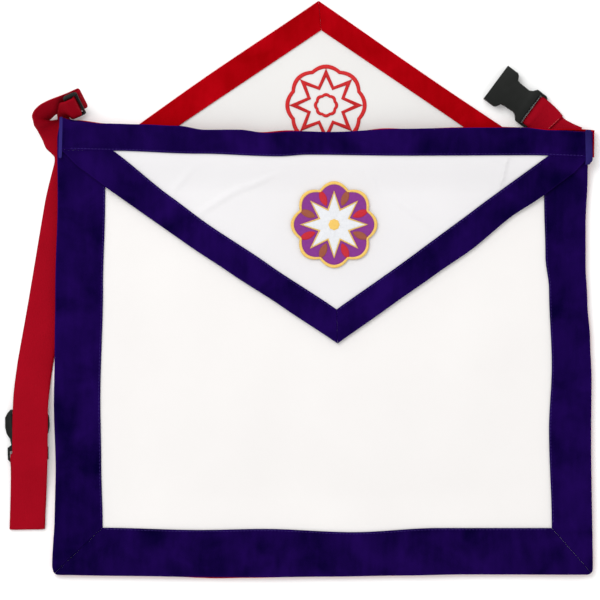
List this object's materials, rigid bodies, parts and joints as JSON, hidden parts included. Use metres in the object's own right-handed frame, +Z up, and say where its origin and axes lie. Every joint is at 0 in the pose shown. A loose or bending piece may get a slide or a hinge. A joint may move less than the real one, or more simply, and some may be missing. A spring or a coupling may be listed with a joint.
{
  "type": "masonic apron",
  "caption": "Flat reversible ceremonial apron: bordered white panels, a triangular flap down in front, the other side's flap turned up, webbing belt with slide and side-release buckle",
  "frame": {"origin": "centre of the bounding box, on the surface the apron lies on", "axes": "+X across the apron towards the side with the female buckle, +Y up the apron towards the waist and the turned-up flap, +Z up out of the front face"},
  "size_m": [0.4486, 0.4396, 0.0328],
  "materials": {
    "white_cloth": "smooth matt white cloth",
    "purple_velvet": "deep violet velvet",
    "red_cloth": "matt red cloth",
    "embroidery": "raised satin stitch",
    "webbing": "red woven webbing",
    "black_plastic": "satin black"
  },
  "bodies": {
    "root": {"front_panel": "white_cloth", "front_border_left": "purple_velvet", "front_border_right": "purple_velvet", "front_border_bottom": "purple_velvet", "front_flap_panel": "white_cloth", "front_flap_border_left": "purple_velvet", "front_flap_border_right": "purple_velvet", "front_top_band": "purple_velvet", "front_emblem": "embroidery", "back_panel": "white_cloth", "back_border_left": "red_cloth", "back_border_right": "red_cloth", "back_border_bottom": "red_cloth", "back_top_band": "red_cloth", "back_flap_panel": "white_cloth", "back_flap_border_left": "red_cloth", "back_flap_border_right": "red_cloth", "back_emblem": "red_cloth", "belt_left": "webbing", "slide_adjuster": "black_plastic", "male_buckle": "black_plastic", "belt_right": "webbing", "female_buckle": "black_plastic"}
  },
  "joints": []
}
